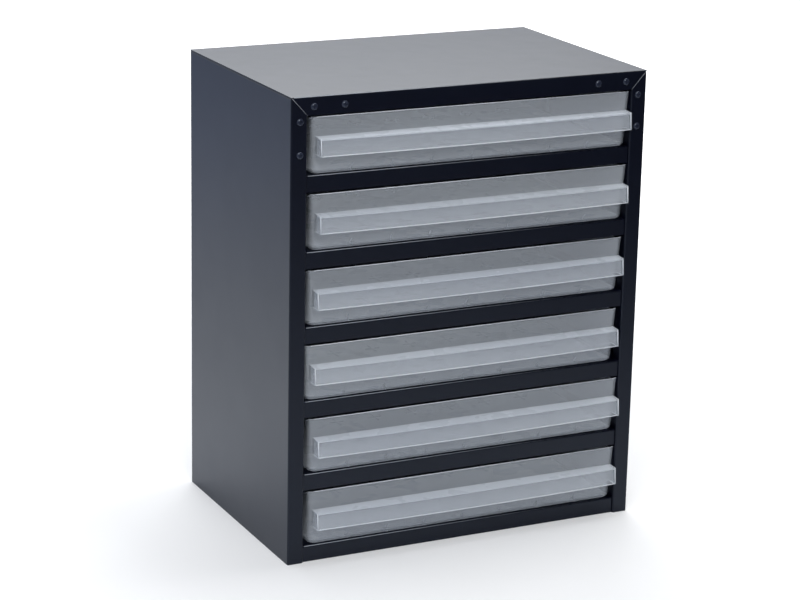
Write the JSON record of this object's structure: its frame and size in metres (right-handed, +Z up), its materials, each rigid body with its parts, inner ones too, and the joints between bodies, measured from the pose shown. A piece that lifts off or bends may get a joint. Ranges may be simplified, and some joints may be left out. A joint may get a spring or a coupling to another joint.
{
  "type": "parts bin cabinet",
  "caption": "Folded steel cabinet with a column of shallow translucent drawer trays, each sliding on its own shelf and pulled by a full-width grip ledge.",
  "frame": {"origin": "centre of the overall box at floor level", "axes": "+Z up, -Y out of the drawer fronts, +X to the right seen from the front"},
  "size_m": [0.359, 0.255, 0.435],
  "materials": {
    "casing_paint": "satin powder coat",
    "rivet_paint": "satin paint",
    "bracket_zinc": "zinc plated",
    "tray_plastic": "milky translucent, semi-gloss"
  },
  "bodies": {
    "cabinet": {"side_panel_left": "casing_paint", "side_panel_right": "casing_paint", "top_panel": "casing_paint", "back_panel": "casing_paint", "bottom_shelf": "casing_paint", "shelf_1": "casing_paint", "shelf_2": "casing_paint", "shelf_3": "casing_paint", "shelf_4": "casing_paint", "shelf_5": "casing_paint", "corner_bracket_left": "bracket_zinc", "corner_bracket_right": "bracket_zinc", "front_rivets_left": "rivet_paint", "front_rivets_right": "rivet_paint", "rear_rivets_left": "rivet_paint", "rear_rivets_right": "rivet_paint"},
    "drawer_1": {"drawer_tray_1": "tray_plastic"},
    "drawer_2": {"drawer_tray_2": "tray_plastic"},
    "drawer_3": {"drawer_tray_3": "tray_plastic"},
    "drawer_4": {"drawer_tray_4": "tray_plastic"},
    "drawer_5": {"drawer_tray_5": "tray_plastic"},
    "drawer_6": {"drawer_tray_6": "tray_plastic"}
  },
  "joints": [
    {"name": "drawer_1_slide", "type": "slide", "parent": "cabinet", "child": "drawer_1", "axis": [0, -1, 0], "range_m": [0, 0.19]},
    {"name": "drawer_2_slide", "type": "slide", "parent": "cabinet", "child": "drawer_2", "axis": [0, -1, 0], "range_m": [0, 0.19]},
    {"name": "drawer_3_slide", "type": "slide", "parent": "cabinet", "child": "drawer_3", "axis": [0, -1, 0], "range_m": [0, 0.19]},
    {"name": "drawer_4_slide", "type": "slide", "parent": "cabinet", "child": "drawer_4", "axis": [0, -1, 0], "range_m": [0, 0.19]},
    {"name": "drawer_5_slide", "type": "slide", "parent": "cabinet", "child": "drawer_5", "axis": [0, -1, 0], "range_m": [0, 0.19]},
    {"name": "drawer_6_slide", "type": "slide", "parent": "cabinet", "child": "drawer_6", "axis": [0, -1, 0], "range_m": [0, 0.19]}
  ]
}
